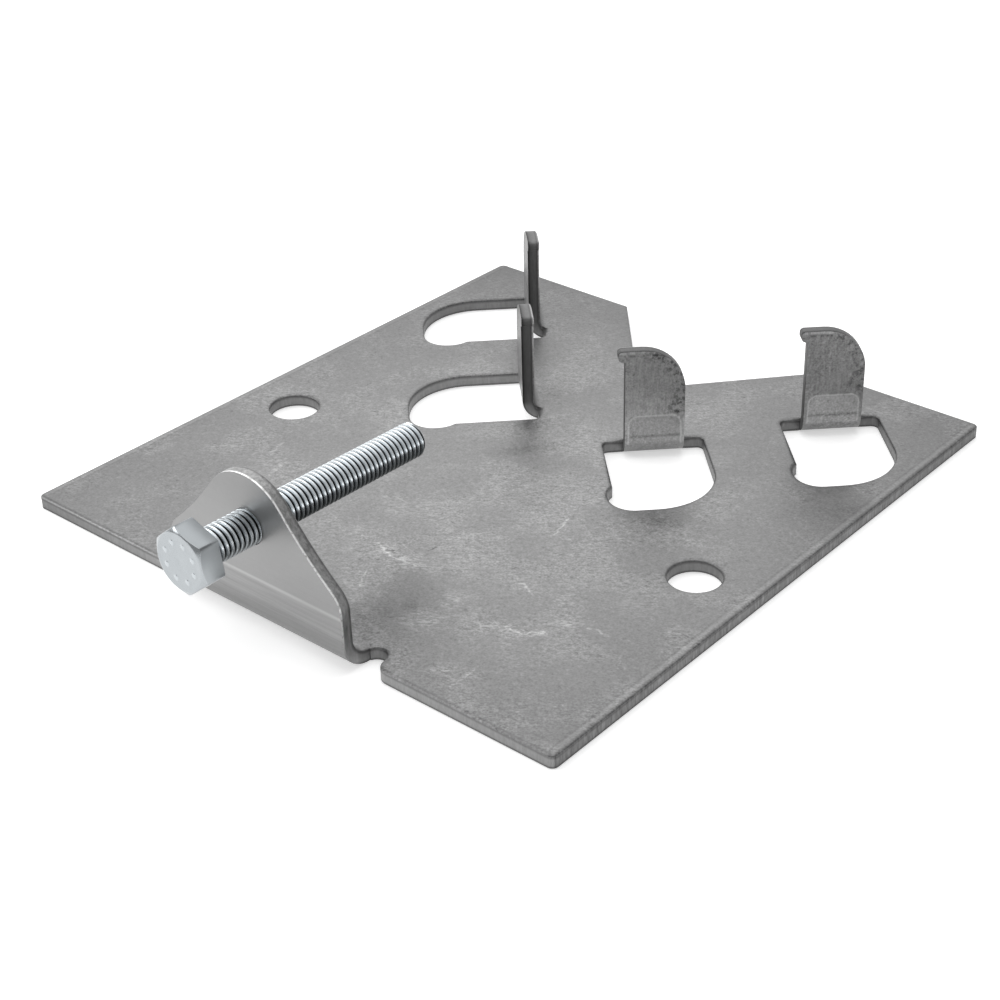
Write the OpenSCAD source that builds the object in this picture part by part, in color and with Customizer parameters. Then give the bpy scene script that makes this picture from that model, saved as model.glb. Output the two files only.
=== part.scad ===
// Folded sheet steel base plate with four lanced hooks, a front lug and a clamping screw.
// Frame: X to the right, Y to the rear, Z up. The origin is the centre of the plate's
// underside. Places given from the front edge are turned into Y by front_y.

/* [Plate] */
// Width of the plate, side to side
plate_w = 150; // [130:1:200]
// Length of the plate, front edge to rear edge
plate_l = 160; // [146:1:200]
// Thickness of the sheet, the same in plate, hooks and lug
sheet_t = 3; // [2:0.1:4]
// Radius of the plate's outer corners
corner_r = 1.5; // [0.5:0.25:4]
// Width of the V-shaped notch where it leaves the rear edge
notch_w = 62; // [40:1:72]
// Depth of the V-shaped notch
notch_d = 35.5; // [20:0.5:45]

/* [Fixing holes] */
// Diameter of the two fixing holes
hole_d = 12; // [6:0.5:16]
// Distance of the fixing holes from the plate's sides
hole_side = 15; // [12:0.5:30]
// Distance of the fixing holes from the front edge
hole_front = 65; // [30:1:90]

/* [Front lug] */
// Width of the lug between its two straight sides
lug_w = 49; // [42:1:60]
// Distance of the lug's outer face ahead of the front edge
lug_out = 3; // [0:0.5:4]
// Inside radius of the lug's bend
lug_ri = 4; // [2:0.5:5]
// Radius of the lug's rounded top, about the screw's axis
lug_top_r = 11.8; // [8:0.1:14]
// Height of the straight sides above the plate's upper face
lug_side_h = 11; // [8:0.1:13]
// Radius where a straight side turns into the sloping flank
lug_foot_r = 6; // [2:0.5:8]
// Radius of the slight hollow in the sloping flanks
lug_flank_r = 90; // [60:5:200]
// Width of the relief cut beside the lug
relief_w = 5; // [3:0.5:7]
// Depth of the relief cut from the front edge to its rounded end
relief_d = 5.5; // [4:0.5:10]
// Radius of the plate's corner at the mouth of a relief cut
mouth_r = 3; // [1:0.5:4]

/* [Hooks] */
// Width of a hook, along its fold
hook_w = 14; // [11:0.5:17]
// Height of a hook above the plate's upper face
hook_h = 25; // [18:0.5:32]
// Inside radius of a hook's bend
hook_ri = 2; // [1:0.25:3]
// Radius of the hook's big rounded corner
hook_top_r = 10; // [5:0.5:10.5]
// How far the lip stands out from the hook's side
lip_out = 1.6; // [1.1:0.1:3]
// Height of the lip
lip_h = 2.6; // [2.2:0.1:5]
// Radius of the lip's edges
lip_r = 1; // [0.5:0.1:1.1]
// Turn of the folds away from the plate's sides, degrees
hook_turn = 45; // [40:1:50]
// Distance of an inner hook's fold from the middle line
inner_x = 17; // [15:0.5:20]
// Distance of an inner hook's fold from the front edge
inner_y = 107; // [100:0.5:112]
// Distance of an outer hook's fold from the plate's side
outer_side = 31; // [28:0.5:34]
// Distance of an outer hook's fold from the rear edge
outer_rear = 18.5; // [14:0.5:24]

/* [Hook openings] */
// Gap cut beside each side of a hook's blank
side_gap = 5; // [3:0.5:6]
// Gap cut beyond the end of a hook's blank
tip_gap = 4.3; // [3:0.1:6]
// Distance of the opening's rear edge in front of the start of the bend
fold_step = 1.4; // [0.5:0.1:1.9]
// Radius of the opening's two rear corners
slot_r = 1.5; // [0.5:0.25:2.5]

/* [Clamping screw] */
// Nominal thread diameter
screw_d = 8; // [6:0.5:10]
// Length under the head
screw_l = 60; // [40:1:80]
// Size of the hexagon head across its flats
head_af = 13; // [11:0.5:17]
// Height of the head
head_h = 5.3; // [4:0.1:7]
// Height of the screw's axis above the plate's upper face, in the lug
screw_h = 22.3; // [20:0.1:26]
// Gap between the head and the lug with the screw as shown
head_gap = 12.3; // [2:0.1:30]
// Droop of the screw in its loose thread, degrees
screw_droop = 1.5; // [0:0.1:2]
// Turn of the head about its axis, degrees
head_turn = 20; // [0:1:60]
// Clearance all round between the screw and its hole
fit_gap = 0.05; // [0.02:0.01:0.1]

/* [Hidden] */
$fn = 96;
// Overlap that makes joined shapes one solid, and reach of a cut past a face
join = 0.5;
cut = 1;
front_y = -plate_l / 2;
hole_x = plate_w / 2 - hole_side;
inner_fold = [inner_x, front_y + inner_y];
outer_fold = [plate_w / 2 - outer_side, plate_l / 2 - outer_rear];
// Share of the sheet's thickness, from the inner face, that keeps its length in a bend
neutral = 0.42;
// Flat length of a hook from the start of its bend to its tip
blank_l = 90 * PI / 180 * (hook_ri + neutral * sheet_t) + hook_h - hook_ri;
// Front edge of the opening, from the start of the bend
slot_l = blank_l + tip_gap;
slot_half = hook_w / 2 + side_gap;
slot_top_r = hook_top_r + side_gap;
slot_lip_r = lip_r + side_gap;
// Middle of the lip's rounded end, across the hook
lip_x = -hook_w / 2 - lip_out + lip_r;
// Start of the lug's bend, behind the front edge
lug_fold = lug_ri + sheet_t - lug_out;
relief_r = relief_w / 2;
bore_r = screw_d / 2 + fit_gap;
head_r = head_af / 2 / cos(30);
// Round outer face of the head and bevel of the tip, in a hexagon screw's usual proportions
face_r = 0.475 * head_af;
tip_bevel = 0.1 * screw_d;

// Square corner minus its round, for filling an inside corner or cutting an outside one
module corner(r) {
    difference() {
        translate([-cut, -cut]) square(r + cut);
        translate([r, r]) circle(r);
    }
}

// Quarter bend of the sheet. It starts flat at y = 0 and ends upright, outer face at
// y = ri + sheet_t. It reaches back under y = 0 by join, as part of the flat sheet.
module bend(w, ri) {
    rotate([90, 0, 90]) linear_extrude(w, center = true) {
        translate([-join, 0]) square([join, sheet_t]);
        intersection() {
            translate([0, sheet_t + ri]) difference() {
                circle(ri + sheet_t);
                circle(ri);
            }
            square(ri + sheet_t);
        }
    }
}

// Upright part of a fold: the outline, drawn from the plate's upper face up, made sheet_t thick
module upright(ri) {
    translate([0, ri + sheet_t, sheet_t]) rotate([90, 0, 0]) linear_extrude(sheet_t) children();
}

module notch_outline() {
    side = [notch_w / 2, notch_d];
    reach = (notch_d + cut) / notch_d;
    polygon([[0, -notch_d], [side.x * reach, cut], [-side.x * reach, cut]]);
}

module plate_outline() {
    difference() {
        square([plate_w, plate_l], center = true);
        for (sx = [-1, 1], sy = [-1, 1]) {
            scale([sx, sy]) translate([-plate_w / 2, -plate_l / 2]) corner(corner_r);
        }
        translate([0, plate_l / 2]) notch_outline();
    }
}

// Opening left by a hook's blank, in the hook's own frame: the blank with a gap all round
module slot_outline() {
    front = slot_l - slot_lip_r;
    low = front - (lip_h - 2 * lip_r);
    difference() {
        translate([-slot_half, fold_step]) square([2 * slot_half, slot_l - fold_step]);
        for (s = [-1, 1]) scale([s, 1]) translate([-slot_half, fold_step]) corner(slot_r);
        translate([slot_half, slot_l]) scale([-1, -1]) corner(slot_top_r);
        // the corner beside the lip is left to the bulge's round
        translate([-slot_half - cut, front]) square([lip_x + slot_half + cut, slot_l]);
    }
    // room for the hook's root
    translate([-hook_w / 2, 0]) square([hook_w, slot_l / 2]);
    // bulge for the lip
    for (y = [low, front]) translate([lip_x, y]) circle(slot_lip_r);
    translate([lip_x - slot_lip_r, low]) square([slot_lip_r, front - low]);
}

// Face of a hook: straight sides, one big rounded corner and a lip at the other
module hook_outline() {
    difference() {
        translate([-hook_w / 2, hook_ri]) square([hook_w, hook_h - hook_ri]);
        translate([hook_w / 2, hook_h]) scale([-1, -1]) corner(hook_top_r);
        translate([-hook_w / 2 - cut, hook_h - lip_r]) square([lip_x + hook_w / 2 + cut, lip_r + cut]);
    }
    // lip with rounded edges
    for (y = [lip_h - lip_r, lip_r]) translate([lip_x, hook_h - y]) circle(lip_r);
    translate([lip_x, hook_h - lip_h]) square([lip_out, lip_h]);
    translate([lip_x - lip_r, hook_h - lip_h + lip_r]) square([lip_r, lip_h - 2 * lip_r]);
}

module hook() {
    bend(hook_w, hook_ri);
    upright(hook_ri) hook_outline();
}

// Puts its children at the four hooks. The hooks on the left mirror those on the right.
module at_hooks() {
    for (side = [0, 1], fold = [inner_fold, outer_fold]) {
        mirror([side, 0, 0]) translate(fold) rotate([0, 0, hook_turn]) mirror([0, 1, 0]) children();
    }
}

// Right half of the lug's outline: round top, hollow flank, rounded foot and straight side
module lug_half() {
    top = [0, screw_h];
    foot = [lug_w / 2 - lug_foot_r, lug_side_h];
    // centre of the flank's arc, outside the lug, touching the top and the foot circles
    to_top = lug_top_r + lug_flank_r;
    to_foot = lug_foot_r + lug_flank_r;
    span = norm(foot - top);
    along = (foot - top) / span;
    a = (span * span + to_top * to_top - to_foot * to_foot) / (2 * span);
    h = sqrt(to_top * to_top - a * a);
    hollow = top + a * along + h * [-along.y, along.x];
    touch_top = top + (hollow - top) * lug_top_r / to_top;
    touch_foot = foot + (hollow - foot) * lug_foot_r / to_foot;
    difference() {
        polygon([[0, lug_ri], [foot.x, lug_ri], foot, touch_foot, touch_top, top]);
        translate(hollow) circle(lug_flank_r, $fn = 360);
    }
    translate(foot) circle(lug_foot_r);
    translate([0, lug_ri]) square([lug_w / 2, lug_side_h - lug_ri]);
}

module lug() {
    bend(lug_w, lug_ri);
    upright(lug_ri) {
        for (s = [-1, 1]) scale([s, 1]) lug_half();
        translate([0, screw_h]) circle(lug_top_r);
    }
}

// What is cut from the front edge for the lug's fold, y up from the front edge
module lug_cut() {
    half = lug_w / 2 + relief_w;
    end = relief_d - relief_r;
    translate([-lug_w / 2 - join, -cut]) square([lug_w + 2 * join, lug_fold + cut]);
    for (s = [-1, 1]) scale([s, 1]) {
        translate([lug_w / 2, -cut]) square([relief_w, end + cut]);
        translate([lug_w / 2 + relief_r, end]) circle(relief_r);
        translate([half, 0]) corner(mouth_r);
    }
}

// Moves to the screw's axis at the lug's outer face, with +Y along the screw to its tip
module on_screw() {
    translate([0, front_y - lug_out, sheet_t + screw_h]) rotate([-screw_droop, 0, 0]) children();
}

// One cut and folded sheet: plate, four hooks and the lug with the screw's hole
module base_plate() {
    color("#8b8f90") difference() {
        union() {
            linear_extrude(sheet_t) difference() {
                plate_outline();
                for (s = [-1, 1]) translate([s * hole_x, front_y + hole_front]) circle(d = hole_d);
                at_hooks() slot_outline();
                translate([0, front_y]) lug_cut();
            }
            at_hooks() hook();
            translate([0, front_y + lug_fold, 0]) rotate([0, 0, 180]) lug();
        }
        on_screw() rotate([-90, 0, 0]) translate([0, 0, -sheet_t]) cylinder(h = 3 * sheet_t, r = bore_r);
    }
}

// Hexagon screw with its thread's outside as a plain cylinder
module clamp_bolt() {
    tip_r = screw_d / 2 - tip_bevel;
    color("#c9d2da") on_screw() translate([0, -head_gap, 0]) rotate([-90, 0, 0]) {
        // shank, from inside the head to the bevelled tip
        rotate_extrude() polygon([
            [0, -join], [screw_d / 2, -join], [screw_d / 2, screw_l - tip_bevel], [tip_r, screw_l], [0, screw_l]
        ]);
        // hexagon head with the corners of its outer face turned off at 30 degrees
        rotate([180, 0, 0]) intersection() {
            rotate([0, 0, head_turn]) cylinder(h = head_h, r = head_r, $fn = 6);
            cylinder(h = head_h, r1 = face_r + head_h / tan(30), r2 = face_r);
        }
    }
}

base_plate();
clamp_bolt();
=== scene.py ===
"""Dresses the folded base plate: rolled cut edges, sheet steel, threaded zinc screw, studio."""
import math

import bmesh
import bpy
import numpy as np
from bpy.props import FloatProperty, FloatVectorProperty, IntProperty, PointerProperty
from mathutils import Matrix, Vector


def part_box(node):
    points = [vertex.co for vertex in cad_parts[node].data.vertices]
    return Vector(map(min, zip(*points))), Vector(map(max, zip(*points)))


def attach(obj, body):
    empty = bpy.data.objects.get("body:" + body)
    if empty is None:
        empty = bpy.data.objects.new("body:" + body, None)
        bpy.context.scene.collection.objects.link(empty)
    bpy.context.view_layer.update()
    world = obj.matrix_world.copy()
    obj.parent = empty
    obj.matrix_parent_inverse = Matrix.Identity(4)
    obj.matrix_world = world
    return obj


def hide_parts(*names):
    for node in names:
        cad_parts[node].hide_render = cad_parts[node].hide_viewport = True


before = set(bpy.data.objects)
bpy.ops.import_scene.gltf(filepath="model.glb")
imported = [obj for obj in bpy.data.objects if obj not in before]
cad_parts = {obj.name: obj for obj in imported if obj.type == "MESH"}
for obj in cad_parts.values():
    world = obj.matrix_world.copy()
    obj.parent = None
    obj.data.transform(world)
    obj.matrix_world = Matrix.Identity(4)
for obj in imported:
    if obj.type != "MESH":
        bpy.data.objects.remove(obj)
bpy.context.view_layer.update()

bl_info = {
    "name": "Folded base plate",
    "version": (1, 0, 0),
    "blender": (4, 5, 0),
    "location": "3D View > Sidebar > Base plate",
    "description": "Finishes the folded sheet steel base plate and its clamping screw",
    "category": "Object",
}

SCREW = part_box("clamp_bolt")
MM = 0.001

# the part, in millimetres and radians
SHEET_T = 3.0
SIDE_X = 75.0
FRONT_Y = -80.0
HALF_PLATE = 80.0
LUG_FACE_Y = FRONT_Y - SHEET_T
LUG_HALF = 24.6
HOOK_FOLDS = ((17, 27, 0), (44, 61.5, 0))
SCREW_Z = SHEET_T + 22.3
DROOP = math.radians(1.5)
HEAD_GAP = 12.3

# the studio, in metres and degrees
FLOOR_HALF, FLOOR_DROP = 3.0, 0.0002
SKY_TOWARDS = (-0.59, 0.63, 0.51)
CAMERA_PLACE = (0.2512, -0.2901, 0.2246)
CAMERA_YAW_PITCH_ROLL = (38.807, 31.266, -0.259)
CAMERA_SHIFT = -0.083


# ---------------------------------------------------------------- sizes and colours to change

class SheetLook(bpy.types.PropertyGroup):
    """Finish of the sheet."""

    roll_width: FloatProperty(
        name="Edge roll width",
        description="How far in the rolled edge reaches on the punched side",
        default=0.85 * MM, unit="LENGTH", precision=5)
    roll_depth: FloatProperty(
        name="Edge roll depth", description="How far down the rolled edge reaches",
        default=0.42 * MM, unit="LENGTH", precision=5)
    steel: FloatVectorProperty(
        name="Steel", description="Mean colour of the sheet's faces",
        default=(0.264, 0.264, 0.264), subtype="COLOR", min=0, max=1)
    scratches: FloatProperty(
        name="Scratches", description="Strength of the pale scratches",
        default=1.0, subtype="FACTOR", min=0, max=2)
    smears: FloatProperty(
        name="Smears", description="Strength of the dark smears",
        default=1.0, subtype="FACTOR", min=0, max=2)


class ScrewLook(bpy.types.PropertyGroup):
    """Sizes and finish of the screw."""

    crest_r: FloatProperty(
        name="Crest radius", description="Radius of the thread's crests",
        default=3.93 * MM, unit="LENGTH", precision=5)
    root_r: FloatProperty(
        name="Root radius", description="Radius of the thread's roots",
        default=3.17 * MM, unit="LENGTH", precision=5)
    pitch: FloatProperty(
        name="Pitch", description="Advance of the thread in one turn",
        default=1.25 * MM, unit="LENGTH", precision=5)
    across_flats: FloatProperty(
        name="Across flats", description="Size of the hexagon",
        default=13 * MM, unit="LENGTH", precision=5)
    head_height: FloatProperty(
        name="Head height", description="Height of the head",
        default=5.3 * MM, unit="LENGTH", precision=5)
    head_turn: FloatProperty(
        name="Head turn", description="Turn of the head about its axis",
        default=math.radians(20), subtype="ANGLE")
    pips: IntProperty(
        name="Pips", description="Raised pips round the head's face", default=8, min=0, max=24)
    zinc: FloatVectorProperty(
        name="Zinc", description="Colour of the plating",
        default=(0.74, 0.785, 0.815), subtype="COLOR", min=0, max=1)


class StudioLook(bpy.types.PropertyGroup):
    """Camera, floor and light."""

    focal: FloatProperty(
        name="Focal length", description="Lens of the camera in millimetres",
        default=68.81, unit="CAMERA")
    floor: FloatVectorProperty(
        name="Floor", description="Colour of the floor",
        default=(0.90, 0.90, 0.90), subtype="COLOR", min=0, max=1)
    sky: FloatProperty(
        name="Sky", description="Strength of the light from all round", default=1.0, min=0)
    key: FloatProperty(
        name="Key light", description="Power of the soft light at the left",
        default=3.6, unit="POWER")
    top: FloatProperty(
        name="Top light", description="Power of the soft light overhead",
        default=3.6, unit="POWER")


# ---------------------------------------------------------------- node wiring

class Bench:
    """Adds nodes to one tree and links them. A mask is 1 in its zone and 0 outside it."""

    def __init__(self, tree):
        self.tree = tree

    def add(self, kind, settings=None, inputs=None):
        """New node with its settings, each input linked to a socket or set to a value."""
        made = self.tree.nodes.new(kind)
        for name, value in (settings or {}).items():
            setattr(made, name, value)
        for name, value in (inputs or {}).items():
            socket = made.inputs[name]
            if isinstance(value, bpy.types.NodeSocket):
                self.tree.links.new(value, socket)
            else:
                socket.default_value = value
        return made

    def math(self, operation, *values, clamp=False):
        settings = {"operation": operation, "use_clamp": clamp}
        return self.add("ShaderNodeMath", settings, dict(enumerate(values))).outputs[0]

    def chain(self, operation, values):
        """All the values, joined one after another by the operation."""
        total, *rest = values
        for value in rest:
            total = self.math(operation, total, value)
        return total

    def plus(self, *values):
        return self.chain("ADD", values)

    def times(self, *values):
        return self.chain("MULTIPLY", values)

    def minus(self, value, less):
        return self.math("SUBTRACT", value, less)

    def over(self, value, divisor):
        return self.math("DIVIDE", value, divisor)

    def larger(self, *values):
        return self.chain("MAXIMUM", values)

    def absolute(self, value):
        return self.math("ABSOLUTE", value)

    def outside(self, mask):
        """1 - mask."""
        return self.minus(1.0, mask)

    def linear(self, value, slope, start):
        """slope * value + start."""
        return self.math("MULTIPLY_ADD", value, slope, start)

    def swing(self, value, amount):
        """amount * (value - 0.5)."""
        return self.linear(value, amount, -amount / 2)

    def ramp(self, value, low, high, to_low=0.0, to_high=1.0):
        """Smooth step of value from low to high, put out from to_low to to_high."""
        made = self.add("ShaderNodeMapRange", {"interpolation_type": "SMOOTHSTEP"}, {
            "Value": value, "From Min": low, "From Max": high,
            "To Min": to_low, "To Max": to_high})
        return made.outputs["Result"]

    def window(self, value, rise, fall):
        """1 between two smooth steps, each from its first number to its second."""
        return self.times(self.ramp(value, *rise), self.ramp(value, *fall))

    def stripe(self, value, middle, reach, strength=1.0):
        """strength where value is middle, falling to 0 at the distance reach from it."""
        far = self.absolute(self.minus(value, middle))
        return self.ramp(far, 0.0, reach, strength, 0.0)

    def mix(self, factor, a, b):
        """a where the factor is 0, b where it is 1."""
        return self.add("ShaderNodeMix", {"data_type": "FLOAT"}, {0: factor, 2: a, 3: b}).outputs[0]

    def tint(self, tone, mask, factor):
        """tone, multiplied by factor inside the mask."""
        return self.times(tone, self.mix(mask, 1.0, factor))

    def vector(self, operation, *values):
        made = self.add("ShaderNodeVectorMath", {"operation": operation}, dict(enumerate(values)))
        number = operation in ("LENGTH", "DOT_PRODUCT")
        return made.outputs["Value" if number else "Vector"]

    def scale(self, value, factor):
        made = self.add("ShaderNodeVectorMath", {"operation": "SCALE"}, {
            "Vector": value, "Scale": factor})
        return made.outputs["Vector"]

    def turned(self, place, angle):
        """Place turned about the vertical axis."""
        return self.add("ShaderNodeVectorRotate", {"rotation_type": "Z_AXIS"}, {
            "Vector": place, "Angle": angle}).outputs[0]

    def place(self, *axes):
        return self.add("ShaderNodeCombineXYZ", None, dict(enumerate(axes))).outputs[0]

    def axes(self, place):
        return self.add("ShaderNodeSeparateXYZ", None, {0: place}).outputs[:]

    def noise(self, place, scale, detail=2.0, rough=0.5, warp=0.0, output="Fac"):
        made = self.add("ShaderNodeTexNoise", None, {
            "Vector": place, "Scale": scale, "Detail": detail, "Roughness": rough,
            "Distortion": warp})
        return made.outputs[output]

    def streaks(self, place, stretch, detail, rough=0.5, warp=0.0):
        """Noise with so many cells to a unit along each axis."""
        return self.noise(self.vector("MULTIPLY", place, stretch), 1.0, detail, rough, warp)

    def millimetres(self):
        """Object coordinates in millimetres."""
        return self.scale(self.add("ShaderNodeTexCoord").outputs["Object"], 1 / MM)

    def attribute(self, name):
        return self.add("ShaderNodeAttribute", {"attribute_name": name}).outputs["Fac"]

    def group(self, tree, inputs):
        return self.add("ShaderNodeGroup", {"node_tree": tree}, inputs).outputs

    def give(self, outputs):
        """Group output with the named values; gives back the finished tree."""
        self.add("NodeGroupOutput", None, outputs)
        return self.tree

    def relief(self, height, strength, depth):
        """Normal that follows a height, depth millimetres deep for a height of 1."""
        return self.add("ShaderNodeBump", None, {
            "Strength": strength, "Distance": depth * MM, "Height": height}).outputs[0]

    def surface(self, inputs):
        """Principled shader on the material's output."""
        shader = self.add("ShaderNodeBsdfPrincipled", None, inputs)
        self.add("ShaderNodeOutputMaterial", None, {"Surface": shader.outputs[0]})


def emptied(made):
    """Bench on the emptied node tree of a new material or world."""
    made.use_nodes = True
    made.node_tree.nodes.clear()
    return Bench(made.node_tree)


FLOAT, VECTOR = "NodeSocketFloat", "NodeSocketVector"


def new_group(name, inputs, outputs):
    """Bench and input sockets of a new shader node group.

    inputs are (name, kind, default) and outputs are the names of numbers.
    """
    tree = bpy.data.node_groups.new(name, "ShaderNodeTree")
    for label, kind, default in inputs:
        socket = tree.interface.new_socket(name=label, in_out="INPUT", socket_type=kind)
        if default is not None:
            socket.default_value = default
    for label in outputs:
        tree.interface.new_socket(name=label, in_out="OUTPUT", socket_type=FLOAT)
    bench = Bench(tree)
    return bench, bench.add("NodeGroupInput").outputs


def grain_group():
    """Grain of rolled sheet, from the sizes of its flecks and clouds in millimetres.

    Tone is the sum of fine and middling flecks, faint clouds and sparse pale and dark dots, all
    about 0. Height is the fine noise alone.
    """
    b, given = new_group("Sheet grain", [
        ("Place", VECTOR, None), ("Fleck", FLOAT, 0.45), ("Cloud", FLOAT, 14.0)],
        ["Tone", "Height"])
    fine = b.noise(given["Place"], b.over(1.0, given["Fleck"]), 1.0, 0.5)
    mid = b.noise(given["Place"], b.over(0.42, given["Fleck"]), 2.0, 0.65)
    cloud = b.noise(given["Place"], b.over(1.0, given["Cloud"]), 3.0, 0.6)
    dots = b.plus(b.ramp(mid, 0.63, 0.72, 0.0, 0.13), b.ramp(mid, 0.36, 0.28, 0.0, -0.13))
    tone = b.plus(b.swing(fine, 0.85), b.swing(cloud, 0.26), b.swing(mid, 0.45), dots)
    return b.give({"Tone": tone, "Height": fine})


def scratch_group():
    """Hair scratches: thin level lines of a stretched, bent noise, broken up by a second noise."""
    b, given = new_group("Hair scratches", [
        ("Place", VECTOR, None), ("Turn", FLOAT, 0.0), ("Length", FLOAT, 30.0),
        ("Gap", FLOAT, 6.0), ("Width", FLOAT, 0.02), ("Share", FLOAT, 0.3),
        ("Seed", FLOAT, 0.0)],
        ["Mask"])
    turned = b.turned(given["Place"], given["Turn"])
    size = b.place(b.over(1.0, given["Length"]), b.over(1.0, given["Gap"]), 0.3)
    moved = b.place(given["Seed"], given["Seed"], 0.0)
    stretched = b.vector("ADD", b.vector("MULTIPLY", turned, size), moved)
    off = b.absolute(b.minus(b.noise(stretched, 1.0, 1.0, 0.4, 0.6), 0.5))
    line = b.ramp(off, 0.0, given["Width"], 1.0, 0.0)
    broken = b.streaks(stretched, (3.1, 1.7, 1.0), 3.0, 0.7)
    share = b.outside(given["Share"])
    kept = b.ramp(broken, b.linear(share, 0.35, 0.3), b.linear(share, 0.35, 0.36))
    return b.give({"Mask": b.times(line, kept)})


def spot_group():
    """Soft turned ellipse, 1 in its middle and 0 outside, its rim moved out and in by Rag."""
    b, given = new_group("Soft spot", [
        ("Place", VECTOR, None), ("Middle", VECTOR, (0, 0, 0)), ("Size", VECTOR, (10, 10, 10)),
        ("Turn", FLOAT, 0.0), ("Rag", FLOAT, 0.0)],
        ["Mask"])
    moved = b.vector("SUBTRACT", given["Place"], given["Middle"])
    turned = b.turned(moved, given["Turn"])
    far = b.vector("LENGTH", b.vector("DIVIDE", turned, given["Size"]))
    return b.give({"Mask": b.ramp(b.plus(far, given["Rag"]), 0.15, 1.0, 1.0, 0.0)})


def stroke_group():
    """One scratch: 1 on the line from From to From + Reach, falling to 0 at the distance Width."""
    b, given = new_group("Scratch stroke", [
        ("Place", VECTOR, None), ("From", VECTOR, (0, 0, 0)), ("Reach", VECTOR, (1, 0, 0)),
        ("Width", FLOAT, 0.4)],
        ["Mask"])
    reach = given["Reach"]
    moved = b.vector("SUBTRACT", given["Place"], given["From"])
    share = b.math("DIVIDE", b.vector("DOT_PRODUCT", moved, reach),
                   b.vector("DOT_PRODUCT", reach, reach), clamp=True)
    far = b.vector("LENGTH", b.vector("SUBTRACT", moved, b.scale(reach, share)))
    return b.give({"Mask": b.ramp(b.over(far, given["Width"]), 0.2, 1.0, 1.0, 0.0)})


HOOK_MASKS = ("Face", "Hook", "Mark", "Rim", "Arc", "Top")


def press_group():
    """Masks of an upright hook, mirrored to both sides of the plate, in millimetres.

    Along the fold u = (|x| + y) / sqrt 2 and across it v = (|x| - y) / sqrt 2, from the fold's
    middle. Hook is the whole hook and Face its punched face. Mark is the press mark on the
    foot, a rounded rectangle in u and z, and Rim its outline. Arc is the face outside a circle
    about its middle, and Top a line just under its top.
    """
    b, given = new_group("Hook face", [
        ("Place", VECTOR, None), ("Fold", VECTOR, (0, 0, 0))], HOOK_MASKS)
    x, y, z = b.axes(given["Place"])
    fold_x, fold_y, _ = b.axes(given["Fold"])
    dx, dy = b.minus(b.absolute(x), fold_x), b.minus(y, fold_y)
    u = b.times(b.plus(dx, dy), math.sqrt(0.5))
    v = b.times(b.minus(dx, dy), math.sqrt(0.5))
    near = b.times(b.ramp(b.absolute(u), 9.6, 9.2), b.ramp(v, 5.6, 5.3), b.ramp(v, -0.3, 0.0))
    face = b.times(near, b.times(b.ramp(v, 4.7, 4.9), b.ramp(z, 1.5, 3.5)))

    # edge is the distance out from the rounded rectangle
    half_u, half_z, middle_z, corner = 6.1, 6.6, 4.6, 2.2
    past_u = b.minus(b.absolute(u), half_u - corner)
    past_z = b.minus(b.absolute(b.minus(z, middle_z)), half_z - corner)
    far = b.vector("LENGTH", b.place(b.larger(past_u, 0.0), b.larger(past_z, 0.0), 0.0))
    within = b.math("MINIMUM", b.larger(past_u, past_z), 0.0)
    edge = b.minus(b.plus(far, within), corner)

    arc_u, arc_z = -3.0, 18.0
    to_arc = b.vector("LENGTH", b.place(b.plus(u, -arc_u), b.minus(z, arc_z), 0.0))
    top_z, top_u = 26.9, -1.5
    top = b.ramp(b.absolute(b.minus(z, top_z)), 0.1, 0.4, 1.0, 0.0)
    return b.give({
        "Face": face,
        "Hook": b.times(near, b.ramp(z, 3.3, 5.0)),
        "Mark": b.times(b.ramp(edge, 0.15, -0.15), face),
        "Rim": b.times(b.ramp(b.absolute(edge), 0.35, 0.05), face),
        "Arc": b.times(b.ramp(to_arc, 5.5, 9.0), b.ramp(u, -5.0, 1.0),
                       b.times(face, b.ramp(z, 10.0, 14.0))),
        "Top": b.times(top, b.times(face, b.ramp(b.absolute(b.plus(u, -top_u)), 6.0, 5.0))),
    })


# middle, half sizes, turn and strength of each pale scuffed patch, in millimetres and radians
PLATE_SPOTS = (
    ((-7.5, -45.9), (6.5, 3.1, 9), -0.64, 0.5), ((2.0, -48.6), (3.3, 2.9, 9), -0.27, 1.0),
    ((9.2, -48.5), (5.3, 2.9, 9), -0.63, 0.9), ((15.2, -46.6), (3.7, 2.9, 9), -0.56, 0.5),
    ((11.8, -34.3), (6.0, 2.5, 9), -0.66, 0.5), ((-8.3, -33.8), (5.4, 3.9, 9), 0.71, 0.5),
    ((-2.5, -28.8), (6.3, 4.5, 9), 0.78, 0.5), ((26.3, -53.6), (3.2, 2.0, 9), 0.79, 0.7),
    ((26.7, -62.5), (4.1, 3.5, 9), -0.45, 0.8), ((39.9, -73.3), (3.4, 1.2, 9), -0.66, 0.6),
    ((31.6, -75.6), (2.5, 1.7, 9), -0.60, 0.6), ((38.3, -55.5), (4.0, 2.2, 9), -0.65, 0.7),
    ((43.1, -53.9), (3.5, 2.6, 9), -0.62, 0.9), ((46.7, -52.0), (3.5, 1.7, 9), -0.66, 0.9),
    ((49.3, -45.0), (4.0, 2.6, 9), -0.66, 0.7), ((44.6, -39.2), (2.7, 2.1, 9), 0.87, 0.6),
    ((42.6, -28.4), (6.6, 5.7, 9), -0.66, 0.4), ((55.9, -29.7), (7.3, 5.1, 9), 0.94, 0.4),
    ((6.0, -60.1), (5.7, 3.0, 9), 0.76, 0.5), ((48.2, -60.0), (8.0, 4.0, 9), 0.75, 0.35),
    ((-46, -36), (9, 5, 9), 0.5, 0.45), ((33, 20), (4, 12, 9), 0.2, 0.35))

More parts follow.
